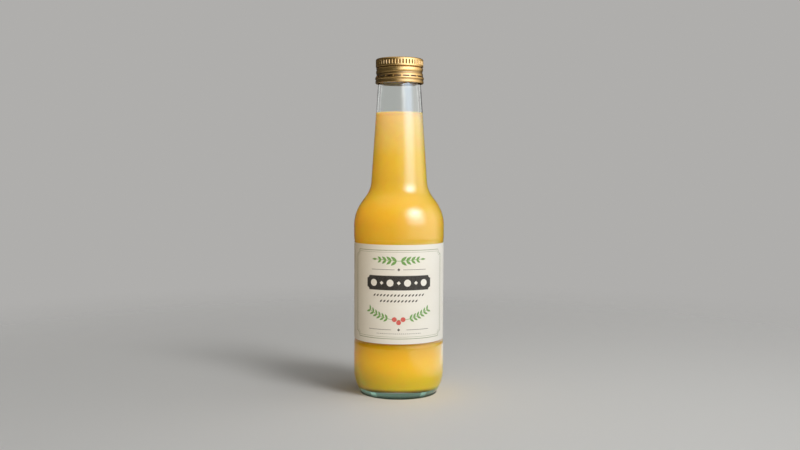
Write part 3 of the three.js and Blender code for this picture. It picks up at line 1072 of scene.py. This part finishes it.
black_ink = new_ink("Black ink", (0.012, 0.010, 0.008), fade=0.06)
grey_ink = new_ink("Grey ink", (0.045, 0.038, 0.03), fade=0.12)
green_ink = new_ink("Green ink", (0.12, 0.30, 0.05), fade=0.12)
olive_ink = new_ink("Olive ink", (0.16, 0.21, 0.08), fade=0.2)
red_ink = new_ink("Red ink", (0.56, 0.06, 0.045), fade=0.15)
paper_ink = new_ink("Bare paper", PAPER, fade=0.0)
print("six inks mixed")

# %% Lay out the front of the label
FRONT_HALF = 31.2
FRONT_LOW = 3.2
FRONT_HIGH = 55.6
LINE_GAP = 1.1
DOT_PITCH = 5.2
STROKE_PITCH = 2.15

frame_shapes = line(ticket(FRONT_HALF, FRONT_LOW, FRONT_HIGH, notch=3.0), 0.34)
inner_line = ticket(FRONT_HALF - LINE_GAP, FRONT_LOW + LINE_GAP, FRONT_HIGH - LINE_GAP, notch=2.6)
frame_shapes += line(inner_line, 0.16)

sprig_height = 49.3
sprig_shapes = []
for side_sign in (-1, 1):
    for i in range(4):
        stem = (side_sign * (1.3 + 3.1 * i), sprig_height + 0.25 * i)
        for spread in (38, -38):
            angle = 90 - side_sign * 90 + side_sign * spread
            sprig_shapes.append(leaf(stem, 4.4 - 0.45 * i, 1.7 - 0.12 * i, angle))
    tip = (side_sign * 13.4, sprig_height + 1.0)
    sprig_shapes.append(leaf(tip, 3.4, 1.2, 90 - side_sign * 90))
    sprig_shapes += line([(0, sprig_height), tip], 0.3)

rule_shapes = []
for up, gap in ((44.2, 2.6), (8.6, 4.6)):
    for side_sign in (-1, 1):
        rule_shapes.append(bar(side_sign * (gap + 7.2), up, 14.4, 0.26))
    rule_shapes.append(disc_shape(0, up, 0.9, corners=4))

band_low, band_high = 32.0, 40.6
band_shapes = [ticket(20.5, band_low, band_high, notch=1.6)[:-1]]
band_middle = (band_low + band_high) / 2
reversed_shapes = []
for i in range(-3, 4):
    radius, corners = (2.1, 28) if i % 2 else (1.2, 4)
    reversed_shapes.append(disc_shape(i * DOT_PITCH, band_middle, radius, corners))

stroke_shapes = []
for up, count in ((29.0, 15), (25.6, 11)):
    for i in range(count):
        middle = (i - (count - 1) / 2) * STROKE_PITCH
        stroke_shapes.append(leaf((middle - 0.75, up - 0.75), 2.2, 0.95, 45))
print(f"front panel {2 * FRONT_HALF:.0f} mm wide, with a band, a sprig and two rows of strokes")

# %% Garland under the band
GARLAND_HALF = 19.0
GARLAND_TOP = 20.4
GARLAND_SAG = 6.0


def garland(share):
    """A place on the hanging garland, from -1 at its left end to 1 at its right end."""
    return share * GARLAND_HALF, GARLAND_TOP - GARLAND_SAG * (1 - share * share)


garland_leaves = line([garland(-1 + i / 12) for i in range(25)], 0.28)
for i in range(-8, 9):
    share = i / 8.5
    place = garland(share)
    slope = math.degrees(math.atan2(2 * GARLAND_SAG * share, GARLAND_HALF))
    if abs(i) > 2:
        for spread in (48, -48):
            garland_leaves.append(leaf(place, 3.2, 1.25, slope + (spread if i > 0 else 180 - spread)))
garland_dots = [disc_shape(middle, GARLAND_TOP - GARLAND_SAG + rise, 1.45)
                for middle, rise in ((-2.6, 0.3), (0.0, -1.5), (2.6, 0.3))]
foot_dots = [disc_shape((i - 11.5) * 1.15, 6.2, 0.26, corners=10) for i in range(24)]
print(f"garland {2 * GARLAND_HALF:.0f} mm wide with {len(garland_dots)} berries")

# %% Print the label
prints = [
    print_shapes("print_frame", frame_shapes, olive_ink),
    print_shapes("print_sprig", sprig_shapes, green_ink),
    print_shapes("print_rules", rule_shapes + foot_dots, grey_ink),
    print_shapes("print_band", band_shapes, black_ink),
    print_shapes("print_reversed", reversed_shapes, paper_ink, layer=2),
    print_shapes("print_strokes", stroke_shapes, grey_ink),
    print_shapes("print_garland", garland_leaves, green_ink),
    print_shapes("print_berries", garland_dots, red_ink, layer=2),
]
print(f"{len(prints)} sheets of ink")

# %% [markdown]
# ## Which card lights what
#
# Light linking limits a light to a collection of receivers, so each card does only its own work. The table
# is lit by its own window and the bottle by the other one, so the shadow can lie as in the picture without
# moving the light on the bottle. The glass's shine, the two veils and the edge lights light the glass alone,
# and the metal's shine the cap alone. The juice has its warmer fill, its rim card and its card under the
# foot, and the other front fill lights the rest. The back card lights the whole bottle.

# %% Link the cards to their pieces
def light_only(cards, name, pieces):
    """Let some cards light a few pieces and nothing else."""
    receivers = bpy.data.collections.new(name)
    for piece in pieces:
        receivers.objects.link(piece)
    for card in cards:
        card.light_linking.receiver_collection = receivers


light_only((floor_window,), "Floor window", [floor])
light_only((window,), "Window", [glass, juice, cap, label, *prints])
light_only((window_shine, glass_veil, table_veil, *edge_lights), "Glass cards", [glass])
light_only((metal_shine,), "Metal card", [cap])
light_only((juice_fill, rim_card, foot_card), "Juice cards", [juice])
light_only((fill_card,), "Fill card", [glass, cap, label, *prints])
light_only((back_card,), "Back card", [glass, juice, cap, label, *prints])

# %% [markdown]
# ## Hand over to the frame
#
# Each piece now rides on a body, and the measured part that it stands for is hidden.
# The bottle has no moving parts, so everything rides on one body.

# %% Tie the pieces to the measured parts
for piece, node, slot in (
    (glass, "glass_bottle", "clear_glass"),
    (juice, "juice", "cloudy_juice"),
    (cap, "cap", "gold_aluminium"),
    (label, "label", "label_paper"),
    *((sheet_of_ink, "label", "label_paper") for sheet_of_ink in prints),
):
    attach(piece, "root")
    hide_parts(node)

visual_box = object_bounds()
for title, (low, high) in (("measured", cad_box), ("dressed", visual_box)):
    print(f"{title} box: {[round(v / MM, 2) for v in high - low]} mm")
